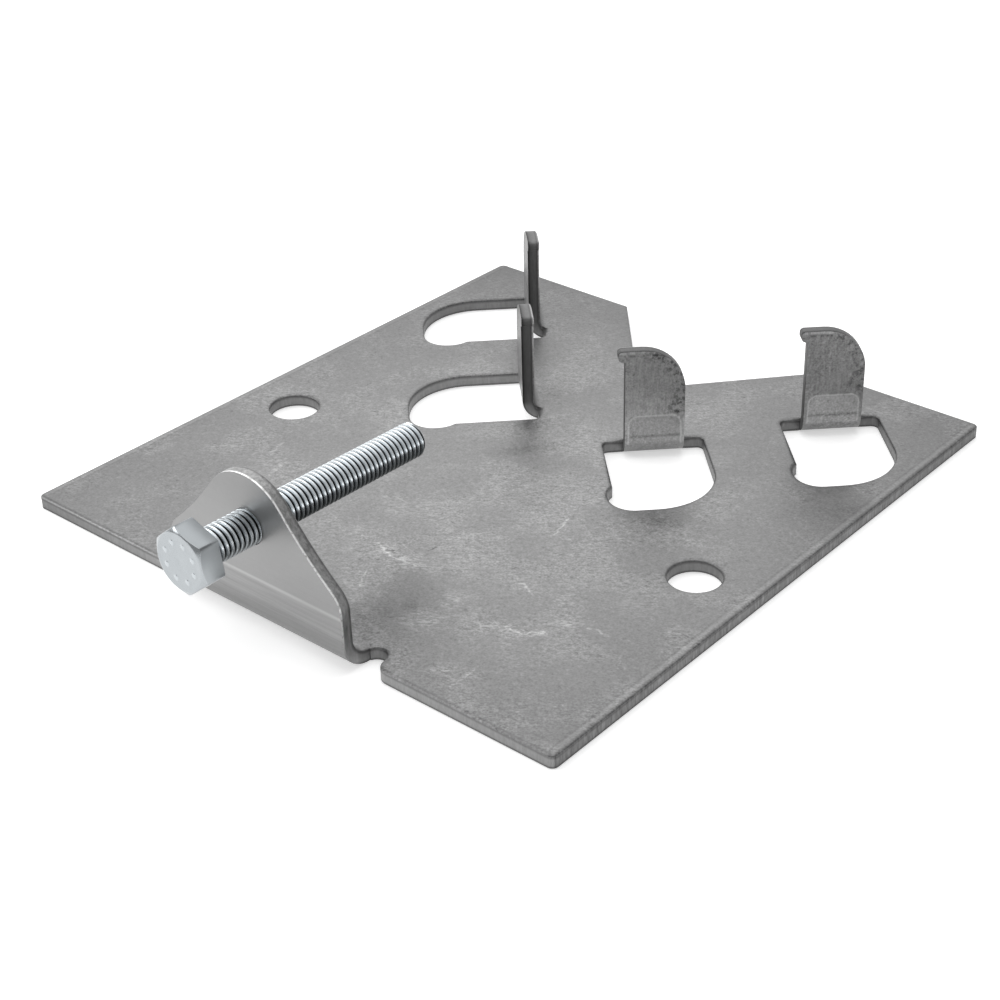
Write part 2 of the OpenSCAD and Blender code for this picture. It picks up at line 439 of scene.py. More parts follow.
# middle, half sizes, turn and strength of each dark smear; the three in front of the lug, at y from
# -75 to -60, are a painted reflection of the screw
SMEARS_AND_REFLECTION = (
    ((-9, 14), (4, 7, 20), 0.6, 0.8), ((-2, 4), (3, 12, 9), 0.64, 0.7),
    ((42, -2), (8, 4, 9), -0.5, 0.85), ((72, 27), (6, 10, 9), 0.5, 0.7),
    ((15, -69), (11, 7, 9), -0.7, 0.55), ((21, -60), (2.5, 2.5, 9), 0.0, 0.6),
    ((12, -75), (13, 4, 9), 0.0, 0.5), ((-14, 30), (4, 6, 9), 0.7, 0.5))

# start, reach, width and strength of each single scratch, dark where the strength is below 0
STROKES = (
    ((4.4, -56.2), (3.0, -5.3), 0.40, 0.6), ((9.4, -37.7), (4.3, 7.5), 0.50, 0.4),
    ((17.0, -37.3), (4.6, -5.2), 0.40, 0.35), ((45.9, -75.5), (-0.3, 8.9), 0.45, 0.5),
    ((26.7, -21.3), (-1.8, 7.8), 0.40, 0.7), ((26.7, -21.3), (4.5, 1.0), 0.40, 0.6),
    ((32.0, -41.4), (1.8, 1.6), 0.45, 0.7), ((33.7, -39.7), (4.0, -2.0), 0.50, 0.8),
    ((41.2, -53.7), (3.7, -0.2), 0.55, 0.7), ((44.9, -53.9), (3.7, 3.2), 0.55, 0.8),
    ((48.0, -47.9), (3.3, 3.5), 0.45, 0.5), ((54.4, -43.5), (4.9, 0.2), 0.50, 1.0),
    ((61.8, -42.7), (4.3, 0.3), 0.40, 0.35), ((67.4, -51.0), (-2.1, 3.8), 0.40, 0.4),
    ((65.5, -67.8), (1.1, 1.6), 0.55, 0.8), ((-48.0, -34.1), (-1.0, 5.2), 0.45, 0.6),
    ((-40.8, -42.5), (-1.4, 7.6), 0.60, 0.4), ((-59.1, -39.0), (6.1, 5.4), 0.45, 0.4),
    ((30.9, -14.5), (1.2, 2.0), 0.50, 0.4), ((37.0, -57.0), (2.7, 2.1), 0.45, 0.5),
    ((-1.0, -47.0), (5.4, -2.3), 0.55, 0.8), ((4.4, -49.3), (7.8, 1.2), 0.55, 0.6),
    ((38.0, -74.4), (4.0, 2.3), 0.40, 0.5), ((9.8, -42.0), (0.6, 1.2), 0.50, -1.0),
    ((2.4, -48.1), (2.0, 1.9), 0.28, -0.8), ((41.5, -21.9), (0.2, 0.1), 0.40, -0.7))

# turn, length, gap, width, share and seed of each set of hair scratches
HAIRS = (
    (0.3, 30.0, 9.0, 0.016, 0.30, 2.1), (1.2, 20.0, 8.0, 0.016, 0.25, 7.7),
    (2.2, 12.0, 5.0, 0.02, 0.25, 33.1))

# middle and radius of the dark dot on the right inner hook
DOT, DOT_R = (24.2, 27.1, 12.2), 0.9

# height, half width and strength of the dark bands across a hook's foot and of the lug's pale
# lines, painted highlights where its bend ends
FOOT_BANDS = ((5.9, 0.7, 1.0), (2.9, 0.6, 0.7))
LUG_HIGHLIGHTS = ((13.3, 0.60, 0.42), (8.9, 0.9, 0.12))


def strokes(b, place):
    """Sum of the single scratches at a place."""
    stroke = stroke_group()
    return b.plus(*[b.times(b.group(stroke, {
        "Place": place, "From": (*start, SHEET_T), "Reach": (*reach, 0.0),
        "Width": width})["Mask"], power) for start, reach, width, power in STROKES])


def patches(b, at, rows, rag, grow=1.0):
    """The strongest of the soft spots in the rows, each grown by a factor."""
    return b.larger(*[b.times(b.group(at.spot, {
        "Place": at.place, "Middle": (*middle, SHEET_T), "Size": tuple(grow * v for v in size),
        "Turn": turn, "Rag": rag})["Mask"], power) for middle, size, turn, power in rows])


class SheetPlaces:
    """Sockets that say where a point of the sheet lies, and the patterns its parts share.

    x, y, z and aside, which is |x|, are in millimetres. depth runs from 0 on the punched side to
    1 at the burr, rim from 0 to 1 over the rolled edge. grain and torn are patterns and spot is
    the group of a soft spot. The others are masks.
    """

    def __init__(self, b):
        self.place = b.millimetres()
        self.x, self.y, self.z = b.axes(self.place)
        self.aside = b.absolute(self.x)
        self.rim, self.depth = b.attribute("rim"), b.attribute("depth")

        press, self.spot = press_group(), spot_group()
        self.inner, self.outer = (
            b.group(press, {"Place": self.place, "Fold": fold}) for fold in HOOK_FOLDS)
        self.both = {name: b.larger(self.inner[name], self.outer[name]) for name in HOOK_MASKS}
        self.hook = self.both["Hook"]
        self.lug = b.times(b.ramp(self.y, FRONT_Y + 2.0, FRONT_Y - 0.5),
                           b.ramp(self.aside, LUG_HALF + 0.2, LUG_HALF))
        self.wall = b.window(self.depth, (0.1, 0.2), (0.9995, 0.998))
        self.beside = b.ramp(self.aside, SIDE_X - 1.0, SIDE_X - 0.4)
        self.ahead = b.times(b.ramp(self.y, FRONT_Y + 1.0, FRONT_Y + 0.4), b.outside(self.lug))
        self.open_sheet = b.times(b.outside(self.hook), b.outside(self.lug))
        self.flat = b.times(b.outside(self.wall), b.outside(self.hook))

        self.grain = b.group(grain_group(), {"Place": self.place, "Fleck": 0.45, "Cloud": 16.0})
        self.torn = b.streaks(self.place, (1.4, 1.4, 0.25), 3.0, 0.7)


def plate_tone(b, at, look):
    """Grain, pale scuffed patches, hair scratches, single scratches and dark smears, some of them a
    painted reflection of the screw.
    """
    busy = b.ramp(b.noise(at.place, 0.07, 2.0), 0.42, 0.62)
    tone = b.linear(at.grain["Tone"], b.linear(busy, 0.5, 0.80), 0.957)

    # the scuffed patches and the whole sheet between them show their flecks
    scratch = scratch_group()
    rag = b.minus(b.noise(at.place, 0.5, 3.0, 0.7), 0.5)
    scuffed = patches(b, at, PLATE_SPOTS, b.times(rag, 1.6), grow=1.8)
    fleck = b.streaks(b.turned(at.place, -0.6), (0.55, 1.7, 1.0), 3.0, 0.7, 1.1)
    fleck = b.ramp(fleck, 0.43, 0.60)
    patchy = b.larger(scuffed, b.linear(busy, 0.36, 0.07))
    scuff = b.times(patchy, fleck, 0.72 * look.scratches)
    hairs = b.larger(*[b.group(scratch, {
        "Place": at.place, "Turn": turn, "Length": length, "Gap": gap, "Width": width,
        "Share": share, "Seed": seed})["Mask"] for turn, length, gap, width, share, seed in HAIRS])
    scuff = b.plus(scuff, b.times(hairs, b.linear(scuffed, 0.30, 0.13), look.scratches))

    # the single scratches run on a place that a noise bends a little
    bend = b.noise(at.place, 0.55, output="Color")
    bend = b.vector("MULTIPLY", b.vector("SUBTRACT", bend, (0.5, 0.5, 0.5)), (2.4, 2.4, 0.0))
    single = strokes(b, b.vector("ADD", at.place, bend))
    single = b.times(single, b.linear(fleck, 0.62 * look.scratches, 0.26 * look.scratches))
    tone = b.plus(tone, b.times(b.plus(scuff, single), at.flat))

    # dark smears, and in front of the lug a painted reflection of the screw
    dark = patches(b, at, SMEARS_AND_REFLECTION, rag)
    return b.minus(tone, b.times(dark, at.flat, 0.26 * look.smears))


def hook_tone(b, at, tone):
    """Tone with the hooks: painted light and shade, the inner hooks lighter and the outer darker,
    specks along the drawn round, a pressed foot with a bright rim, a dark dot on the right inner
    hook, dark bands across the foot and a broken bright lip, a painted highlight."""
    inner, outer, both = at.inner, at.outer, at.both
    speck = b.ramp(b.noise(at.place, 0.75, 4.0, 0.75), 0.48, 0.58)
    dashes = b.ramp(b.streaks(at.place, (0.9, 0.9, 0.1), 1.0), 0.42, 0.50)
    # painted light and shade: the inner hooks lighter, the outer hooks darker
    for mask, factor in (
            (inner["Hook"], 1.27), (outer["Hook"], 0.84), (b.times(both["Arc"], speck), 0.44),
            (inner["Mark"], 0.90), (outer["Mark"], 1.34)):
        tone = b.tint(tone, mask, factor)
    tone = b.plus(tone, b.times(both["Rim"], 0.34))
    tone = b.tint(tone, b.times(both["Top"], dashes), 0.62)
    unpressed = b.minus(both["Face"], both["Mark"])
    tone = b.tint(tone, unpressed, b.ramp(at.torn, 0.36, 0.62, 0.88, 1.08))
    dot = b.group(at.spot, {"Place": at.place, "Middle": DOT, "Size": (DOT_R, DOT_R, DOT_R)})
    tone = b.minus(tone, b.times(dot["Mask"], 0.9))
    bands = b.plus(*[b.stripe(at.z, *band) for band in FOOT_BANDS])
    tone = b.minus(tone, b.times(bands, both["Mark"], 0.40))
    # painted highlight: a broken bright line along the lip
    lip = b.times(both["Face"], b.ramp(at.z, 27.2, 27.6))
    return b.plus(tone, b.times(lip, b.linear(dashes, 0.4, 0.1)))


def lug_tone(b, at, tone):
    """Tone with the lug: a smoother face, painted lighter than the plate, streaks along the bend,
    pale lines painted as highlights where the bend ends, and painted shade, darker towards the foot
    of the bend."""
    streak = b.streaks(at.place, (0.05, 0.3, 1.6), 3.0, 0.65)
    bend = b.ramp(at.z, 15.0, 12.0)
    # painted light: the lug's face lighter than the plate
    face = b.plus(1.16, b.times(b.minus(streak, 0.5), b.linear(bend, 0.50, 0.08)))
    # painted highlights: pale lines where the bend ends
    face = b.plus(face, *[b.stripe(at.z, *line) for line in LUG_HIGHLIGHTS])
    # painted shade: darker towards the foot of the bend
    face = b.times(face, b.ramp(at.z, 0.5, 12.5, 0.62, 1.0), b.ramp(at.z, 24.0, 35.0, 1.0, 0.92))
    mask = b.times(at.lug, b.outside(at.wall))
    return b.mix(mask, tone, b.linear(at.grain["Tone"], 0.12, face))


def wall_tone(b, at, tone):
    """Tone with the cut walls: a painted shadow line under the roll, a smooth land, torn, and
    darker towards the burr, a painted shadow where the walls meet the floor. Painted light and
    shade by the way the walls face: the front edge darker at its left end and lighter towards the
    middle, the other walls darker towards the right, and the hooks' walls darker. The lug's upper
    wall is painted lighter and turns bright in patches towards the burr, a painted highlight."""
    # painted light and shade: the front edge darker at its left end and lighter towards the middle,
    # the other walls darker towards the right
    front = b.ramp(at.x, -75.0, -20.0, 0.90, 1.26)
    right_walls_painted_shade = b.ramp(at.x, -10.0, 15.0, 0.98, 0.82)
    lug_wall_painted_light = b.times(at.lug, b.ramp(at.z, 3.0, 12.0))
    land = b.linear(at.torn, 0.7, 0.78)
    # painted shadow: a dark line under the roll, and on all walls but the lug's, darker towards the
    # burr by the floor
    land = b.times(land, b.ramp(at.depth, 0.18, 0.38, 0.62, 1.0))
    land = b.times(land, b.mix(at.lug, b.ramp(at.depth, 0.78, 0.95, 1.0, 0.48), 1.0))
    land = b.tint(land, at.beside, b.linear(at.torn, 1.6, 0.22))
    land = b.times(land, b.mix(at.ahead, right_walls_painted_shade, front))
    # painted shade: the hooks' walls darker towards the burr
    land = b.tint(land, at.hook, b.ramp(at.depth, 0.45, 1.0, 0.62, 0.36))
    # painted light: the lug's upper wall lighter
    land = b.tint(land, lug_wall_painted_light, b.linear(at.torn, 1.5, 0.42))
    # painted highlight: bright patches by the burr on the lug's upper wall
    bright = b.times(b.ramp(b.noise(at.place, 1.1, 2.0), 0.36, 0.46, 0.45, 1.0),
                     b.ramp(at.depth, 0.80, 0.91))
    return b.mix(at.wall, tone, b.plus(land, b.times(bright, lug_wall_painted_light, 2.6)))


def edge_tone(b, at, tone):
    """Tone with the rolled edges, the roll's light and shade painted in: a painted shade line along
    the inner side, and a crest that is painted pale as a highlight at the hooks and the front,
    painted darker round the openings and mottled at the plate's sides. A pale band, a painted
    highlight of the roll, and a faint dark line run along the sides."""
    # painted shade: a line along the roll's inner side
    line = b.window(at.rim, (0.0, 0.12), (0.55, 0.30))
    tone = b.tint(tone, line, b.mix(at.beside, b.mix(at.ahead, 0.96, 0.80), 1.04))
    # painted highlight and shade on the roll's crest
    crest = b.times(b.ramp(at.rim, 0.40, 0.70), b.ramp(at.depth, 0.25, 0.12))
    front = b.mix(at.ahead, b.mix(at.hook, 0.78, 1.45), 1.10)
    tone = b.tint(tone, crest, b.mix(at.beside, front, b.linear(at.torn, 1.1, 0.27)))
    # painted highlight: a pale band of the roll along the sides
    pale = b.window(at.aside, (SIDE_X - 1.9, SIDE_X - 1.5), (SIDE_X - 0.6, SIDE_X - 0.9))
    faint = b.stripe(at.aside, SIDE_X - 2.1, 0.4)
    band = b.minus(b.times(pale, 0.16), b.times(faint, 0.11))
    behind_front = b.ramp(at.y, FRONT_Y + 1.0, FRONT_Y + 1.5)
    return b.plus(tone, b.times(band, b.times(at.flat, behind_front)))


def painted_shade_falloff(b, at):
    """Painted shade: slow darkening of the open sheet towards its rear and its sides, where less
    light falls, a quadratic of x and y.
    """
    x, y = b.over(at.x, HALF_PLATE), b.over(at.y, HALF_PLATE)
    along = b.times(y, b.linear(y, -0.143, b.linear(x, 0.052, -0.090)))
    return b.plus(along, b.linear(x, b.linear(x, -0.140, 0.028), 0.908))


def steel_material(look):
    """Bare sheet steel: plate, hooks, lug, cut walls and rolled edges, one tone after another."""
    made = bpy.data.materials.new("rolled_sheet_steel")
    b = emptied(made)
    at = SheetPlaces(b)
    tone = hook_tone(b, at, plate_tone(b, at, look))
    tone = edge_tone(b, at, wall_tone(b, at, lug_tone(b, at, tone)))
    # painted shade: the open sheet darkens towards its rear and its sides
    tone = b.tint(tone, at.open_sheet, painted_shade_falloff(b, at))

    grit = at.grain["Height"]
    rough = b.plus(b.linear(grit, 0.16, 0.36), b.times(at.wall, 0.08))
    height = b.plus(grit, b.times(at.torn, b.times(at.wall, 2.5)))
    height = b.minus(height, b.times(at.both["Mark"], 2.5))
    b.surface({
        "Base Color": b.scale(tuple(look.steel), b.larger(tone, 0.08)), "Metallic": 0.85,
        "Roughness": b.minus(rough, b.times(at.lug, 0.05)),
        "Normal": b.relief(height, 0.22, 0.035)})
    return made


def zinc_material(look):
    """Bright zinc plating: soft cloudy roughness, crests painted bright as highlights, and roots
    and the thread's underside painted dark as shade.

    down is 1 in the thread's roots and 0 on its crests; on the head it is the dullness of the
    outside, which also darkens its sides and underside as painted shade, and below 0 on the pips,
    which are painted brighter as a highlight. above is the height over the screw's axis.
    """
    made = bpy.data.materials.new("bright_zinc")
    b = emptied(made)
    place = b.millimetres()
    _, y, z = b.axes(place)
    down, thread = b.attribute("down"), b.attribute("thread")
    frost, fine = b.noise(place, 1.1, 4.0, 0.65), b.noise(place, 5.0, 3.0, 0.6)
    above = b.minus(z, b.linear(b.minus(y, LUG_FACE_Y), -math.tan(DROOP), SCREW_Z))
    # painted highlight on the crests, painted shade in the roots and on the thread's underside
    thread_highlight_and_shade = b.times(b.ramp(down, 0.14, 0.66, 1.18, 0.04), b.ramp(above, 1.6, -2.2, 1.0, 0.24))
    # on the head: sides and underside painted darker as shade, pips painted brighter as a highlight
    head = b.plus(b.ramp(down, 0.0, 1.0, 0.52, 0.28), b.ramp(down, 0.0, -1.0, 0.0, 0.12))
    # painted shade: the head's sides darker towards the top and lighter towards the bottom
    head = b.tint(head, b.ramp(down, 0.1, 0.4), b.ramp(above, -1.0, 4.0, 1.12, 0.78))
    tone = b.times(b.linear(frost, 0.16, 0.92), b.mix(thread, head, thread_highlight_and_shade))
    b.surface({
        "Base Color": b.scale(tuple(look.zinc), tone), "Metallic": 1.0,
        "Roughness": b.plus(b.linear(frost, 0.16, 0.16), b.times(down, 0.15)),
        "Normal": b.relief(b.plus(fine, frost), 0.12, 0.03)})
    return made


def floor_material(look):
    """Pale matt floor with a trace of unevenness."""
    made = bpy.data.materials.new("pale_floor")
    b = emptied(made)
    uneven = b.noise(b.add("ShaderNodeTexCoord").outputs["Object"], 3.0, 2.0)
    b.surface({
        "Base Color": b.scale(tuple(look.floor), b.linear(uneven, 0.02, 0.99)), "Roughness": 0.9,
        "Emission Color": (1, 1, 1, 1), "Emission Strength": 0.46})
    return made


# ---------------------------------------------------------------- shapes

MERGE = 2e-7
CAD_MERGE = 2e-6
SOFT_DEGREES = 40.0
SLIVER, HOLLOW = 1e-11, 1e-6
WALL, PUNCHED, BURR = 0, 1, 2
ROLL_ROWS, FACE_ROW, WALL_ROW, FOOT_RISE = 6, 1.18, 1.3, 1.7


def mesh_object(name, points, faces, material, attributes=None, merge=MERGE, smooth=SOFT_DEGREES):
    """Mesh object in place from arrays, its doubles merged, soft below the given edge angle."""
    mesh = bpy.data.meshes.new(name)
    mesh.from_pydata(points, [], faces)
    for label, values in (attributes or {}).items():
        layer = mesh.attributes.new(label, "FLOAT", "POINT")
        layer.data.foreach_set("value", np.asarray(values, np.float32))
    work = bmesh.new()
    work.from_mesh(mesh)
    bmesh.ops.remove_doubles(work, verts=work.verts, dist=merge)
    bmesh.ops.dissolve_degenerate(work, edges=work.edges, dist=merge)
    work.to_mesh(mesh)
    work.free()
    mesh.validate()
    mesh.polygons.foreach_set("use_smooth", np.ones(len(mesh.polygons), bool))
    mesh.set_sharp_from_angle(angle=math.radians(smooth))
    mesh.materials.append(material)
    return placed(name, mesh)


def placed(name, data):
    """Object of the data, linked to the scene at the origin."""
    made = bpy.data.objects.new(name, data)
    bpy.context.scene.collection.objects.link(made)
    return made


def merged_node(name):
    """Points and triangles of a copy of a CAD node with its doubles merged, in metres."""
    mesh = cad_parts[name].data.copy()
    work = bmesh.new()
    work.from_mesh(mesh)
    bmesh.ops.remove_doubles(work, verts=work.verts, dist=CAD_MERGE)
    bmesh.ops.triangulate(work, faces=work.faces)
    work.to_mesh(mesh)
    work.free()
    points = np.empty(len(mesh.vertices) * 3)
    mesh.vertices.foreach_get("co", points)
    corners = np.empty(len(mesh.loops), int)
    mesh.loops.foreach_get("vertex_index", corners)
    bpy.data.meshes.remove(mesh)
    return points.reshape(-1, 3), corners.reshape(-1, 3)


def unit(v):
    """Vectors of length 1."""
    return v / np.maximum(np.linalg.norm(v, axis=-1, keepdims=True), 1e-12)


def dot_rows(a, b):
    """Dot product of each row of a with the same row of b."""
    return np.einsum("...j,...j->...", a, b)


def paired_edges(tris, count):
    """Start and end of each triangle's edges, and the number of the same edge next door."""
    start, end = tris.reshape(-1), np.roll(tris, -1, axis=1).reshape(-1)
    key = np.minimum(start, end) * count + np.maximum(start, end)
    order = np.argsort(key, kind="stable")
    one, other = order[0::2], order[1::2]
    if (key[one] != key[other]).any():
        raise RuntimeError("the CAD sheet is not closed after merging")
    mate = np.empty(len(key), int)
    mate[one], mate[other] = other, one
    return start, end, mate


def side_of_sheet(middle, area, mate, normals):
    """Class of each triangle: PUNCHED, BURR, or WALL for a cut wall.

    Triangles that meet at less than 40 degrees get one label, the least of their numbers, passed
    on until nothing changes. The side is the label of the plate's upper and lower faces.
    """
    face = np.arange(len(mate)) // 3
    soft = dot_rows(normals[face], normals[face[mate]]) > math.cos(math.radians(SOFT_DEGREES))
    a, b = face[soft], face[mate][soft]
    label = np.arange(len(normals))
    while True:
        new = label.copy()
        np.minimum.at(new, a, label[b])
        new = new[new]
        if (new == label).all():
            break
        label = new
    level, reach = 0.999, 1e-5
    up = (normals[:, 2] > level) & (abs(middle[:, 2] - SHEET_T * MM) < reach)
    down = (normals[:, 2] < -level) & (middle[:, 2] < reach)
    top, low = label[np.argmax(area * up)], label[np.argmax(area * down)]
    return np.where(label == top, PUNCHED, np.where(label == low, BURR, WALL))


def point_normals(points, tris, normals):
    """Normal at each point of the triangles, each weighted by its corner's angle."""
    ahead = unit(points[np.roll(tris, -1, 1)] - points[tris])
    back = unit(points[np.roll(tris, 1, 1)] - points[tris])
    angle = np.arccos(np.clip(dot_rows(ahead, back), -1, 1))
    lean = np.zeros_like(points)
    np.add.at(lean, tris.reshape(-1), (angle[:, :, None] * normals[:, None, :]).reshape(-1, 3))
    return unit(lean)


def rolled_sheet(look, material):
    """The CAD sheet with its punched side's cut edges rolled over.

    Along each edge between the punched side and a cut wall runs a quarter ellipse: the point at
    angle t lies width * (1 - sin t) in from the wall and depth * (1 - cos t) down from the face.
    """
    points, tris = merged_node("base_plate")
    square = np.cross(points[tris[:, 1]] - points[tris[:, 0]],
                      points[tris[:, 2]] - points[tris[:, 0]])
    area, normals, middle = np.linalg.norm(square, axis=1), unit(square), points[tris].mean(1)
    start, end, mate = paired_edges(tris, len(points))
    side = side_of_sheet(middle, area, mate, normals)

    # edges between the punched side and a wall; hollow ones and those at slivers stay sharp
    face = np.arange(len(mate)) // 3
    edge = np.flatnonzero((side[face] == PUNCHED) & (side[face[mate]] == WALL))
    own, wall = face[edge], face[mate[edge]]
    sliver = area < SLIVER
    rise = dot_rows(middle[wall] - middle[own], normals[own])
    hollow = (rise > HOLLOW) | sliver[wall] | sliver[own]
    ring = np.unique(start[edge])
    at = np.full(len(points), -1)
    at[ring] = np.arange(len(ring))
    here, there = at[start[edge]], at[end[edge]]
    fixed = np.zeros(len(ring), bool)
    fixed[here[hollow]] = fixed[there[hollow]] = True

    # mitre points out of both walls that meet at a point, lean out of the punched side
    out_wall, in_wall = np.zeros((2, len(ring), 3))
    out_wall[here], in_wall[there] = normals[wall], normals[wall]
    mitre = (out_wall + in_wall) / (1 + dot_rows(out_wall, in_wall))[:, None]
    lean = point_normals(points, tris[side == PUNCHED], normals[side == PUNCHED])[ring]

    # at a hook's foot the roll grows from nothing while the edge rises out of the plate
    risen = (points[ring, 2] - SHEET_T * MM) / (FOOT_RISE * look.roll_depth)
    foot = (risen > 1e-4) & (points[ring, 1] > 0)
    amount = np.where(fixed, 0.0, np.where(foot, np.minimum(risen, 1.0), 1.0))[:, None, None]

    # rows: one flat on the face, the quarter ellipse and one flat on the wall
    t = np.linspace(0, math.pi / 2, ROLL_ROWS)
    inward = np.r_[look.roll_width * FACE_ROW, look.roll_width * (1 - np.sin(t)), 0.0]
    below = np.r_[0.0, look.roll_depth * (1 - np.cos(t)), look.roll_depth * WALL_ROW]
    rolled = points[ring][:, None] - amount * (
        inward[None, :, None] * mitre[:, None] + below[None, :, None] * lean[:, None])
    rows, first = len(inward), len(points)
    points = np.vstack([points, rolled.reshape(-1, 3)])

    spot = first + at[tris] * rows
    on_ring, side_of = at[tris] >= 0, side[:, None]
    faces = np.where(on_ring & (side_of == PUNCHED), spot,
                     np.where(on_ring & (side_of == WALL), spot + rows - 1, tris))
    a = first + here[:, None] * rows + np.arange(rows - 1)
    c = first + there[:, None] * rows + np.arange(rows - 1)
    strip = np.stack([a, a + 1, c + 1, c], -1).reshape(-1, 4)

    burr = np.unique(tris[side == BURR])
    shown = np.where(fixed, 0.0, 1.0)[:, None]
    depth, rim = np.zeros((2, len(points)))
    depth[burr] = rim[burr] = 1.0
    depth[first:] = (shown * below / (SHEET_T * MM)).reshape(-1)
    rim[first:] = (shown * np.r_[0.0, np.linspace(0.15, 1, ROLL_ROWS), 1.0]).reshape(-1)
    made = mesh_object("base_sheet", points, faces.tolist() + strip.tolist(), material,
                       {"depth": depth, "rim": rim})
    weighted = made.modifiers.new("even_normals", "WEIGHTED_NORMAL")
    weighted.mode = "FACE_AREA_WITH_ANGLE"
    weighted.weight = 90
    weighted.keep_sharp = True
    return made


def screw_axes():
    """Start of the screw under its head, its direction, and two directions square to it."""
    along = np.array([0, math.cos(DROOP), -math.sin(DROOP)])
    start = np.array([0, LUG_FACE_Y, SCREW_Z]) * MM - along * HEAD_GAP * MM
    right = np.array([1.0, 0, 0])
    return start, along, right, np.cross(along, right)


def spokes(angle, right, up):
    """Directions at the angles about the screw's axis."""
    return np.cos(angle)[:, None] * right + np.sin(angle)[:, None] * up


def smooth_step(v):
    """0 to 1 with level ends, for v from 0 to 1."""
    return v ** 2 * (3 - 2 * v)


THREAD_COLUMNS = 56
HEAD_COLUMNS = 144
NECK = 0.6 * MM
END_DOWN = 0.3


def thread_part(look, length, inside):
    """Points, down values and quads of the thread, from the neck in the head to the tip.

    The radius is the 60 degree profile of (distance along / pitch - angle / turn), kept inside
    the bevels of both ends. Rows follow the helix: one turn later a row joins the row one
    profile further on.
    """
    start, along, right, up = screw_axes()
    across = np.array([0.0, 0.20, 0.34, 0.48, 0.58, 0.72, 0.86])
    reach = np.array([1.0, 1.0, 0.5, 0.0, 0.0, 0.5, 1.0])
    step, columns = len(across), THREAD_COLUMNS
    turns = int(math.ceil(length / look.pitch)) + 4
    row, col = np.arange(turns * step), np.arange(columns)
    distance = look.pitch * ((row // step + across[row % step])[:, None] + col / columns - 2.0)
    distance = np.clip(distance, -NECK, length)
    radius = look.root_r + (look.crest_r - look.root_r) * reach[row % step][:, None]
    radius = np.minimum(radius, inside + (length - distance) * 1.05)
    radius = np.minimum(radius, inside + (distance + NECK) * 3)
    spoke = spokes(2 * math.pi * col / columns, right, up)
    thread = start + distance[..., None] * along + radius[..., None] * spoke
    down = 1 - (radius - look.root_r) / (look.crest_r - look.root_r)
    down = np.minimum(down, np.clip((length - distance) / (0.75 * MM), END_DOWN, 1))

    i, j = np.meshgrid(np.arange(len(row) - step - 1), col, indexing="ij")
    over = j + 1 == columns
    ni, nj = np.where(over, i + step, i), np.where(over, 0, j + 1)
    quads = np.stack([i * columns + j, ni * columns + nj,
                      (ni + 1) * columns + nj, (i + 1) * columns + j], -1)
    return thread.reshape(-1, 3), np.clip(down, 0, 1).reshape(-1), quads.reshape(-1, 4)


def end_part(distance, inside, flip):
    """Points, down values and triangles of the flat disc at one end of the thread."""
    start, along, right, up = screw_axes()
    col = np.arange(THREAD_COLUMNS)
    spoke = spokes(2 * math.pi * col / THREAD_COLUMNS, right, up)
    centre = start + distance * along
    a, c = col, (col + 1) % THREAD_COLUMNS
    fan = np.stack([c, a] if flip else [a, c], -1)
    return (np.vstack([centre + inside * spoke, centre]), np.full(THREAD_COLUMNS + 1, END_DOWN),
            np.c_[fan, np.full(THREAD_COLUMNS, THREAD_COLUMNS)])


def head_part(look):
    """Points, down values and quads of the head: a soft hexagon of the angle, carried up a path
    of radius and height. Its outer corners are chamfered by 30 degrees, and raised pips stand on
    its slightly dished face."""
    start, along, right, up = screw_axes()
    sides = HEAD_COLUMNS
    turn = 2 * math.pi * np.arange(sides) / sides
    flats = np.cos(turn[:, None] - look.head_turn - np.radians([30, 90, 150]))
    sharp = 70
    hexagon = look.across_flats / 2 * (np.abs(flats) ** sharp).sum(1) ** (-1 / sharp)
    face_r, height = 0.475 * look.across_flats, look.head_height
    full = np.ones(sides)

    def chamfer(r):
        return height - np.maximum(r - face_r, 0) * math.tan(math.radians(30))

    soft = 0.14 * MM
    ledge = np.minimum(hexagon - soft, face_r + 1.5 * soft)
    path = [(0 * full, 0 * full), (face_r * full, 0 * full), (hexagon - soft, 0 * full),
            (hexagon, soft * full), (hexagon, chamfer(hexagon) - soft),
            (hexagon - 0.5 * soft, chamfer(hexagon) - 0.2 * soft),
            (hexagon - soft, chamfer(hexagon - soft)), (ledge, chamfer(ledge)),
            (face_r * full, (height - 0.2 * soft) * full)]
    down = [v * full for v in (0.6, 0.6, 0.45, 0.45, 0.45, 0.0, 0.0, 0.0, 0.0)]

    dish, hill, hill_r = 0.10 * MM, 0.10 * MM, 1.3 * MM
    pip_ring, pip_r, pip_height = 4.2 * MM, 0.50 * MM, 0.18 * MM
    rings, lip = 34, 1.4 * MM
    for r in np.r_[face_r - 1.5 * soft, np.linspace(face_r - 0.6 * MM, 0, rings)]:
        x, y = r * np.cos(turn), r * np.sin(turn)
        level = height - dish * smooth_step(np.clip((face_r - r) / lip, 0, 1))
        level = level - 0.25 * soft - hill * math.exp(-(r / hill_r) ** 2)
        pip = np.zeros(sides)
        for k in range(look.pips):
            a = look.head_turn + 2 * math.pi * k / look.pips
            far = np.hypot(x - pip_ring * math.cos(a), y - pip_ring * math.sin(a))
            pip = np.maximum(pip, smooth_step(np.clip(1.7 - far / pip_r, 0, 1)))
        path.append((r * full, level + pip_height * pip))
        down.append(-pip)

    r, h = np.array(path).transpose(1, 0, 2)
    head = start - h[..., None] * along + r[..., None] * spokes(turn, right, up)
    i, j = np.meshgrid(np.arange(len(path) - 1), np.arange(sides), indexing="ij")
    nj = (j + 1) % sides
    quads = np.stack([i * sides + j, (i + 1) * sides + j,
                      (i + 1) * sides + nj, i * sides + nj], -1)
    return head.reshape(-1, 3), np.concatenate(down), quads.reshape(-1, 4)


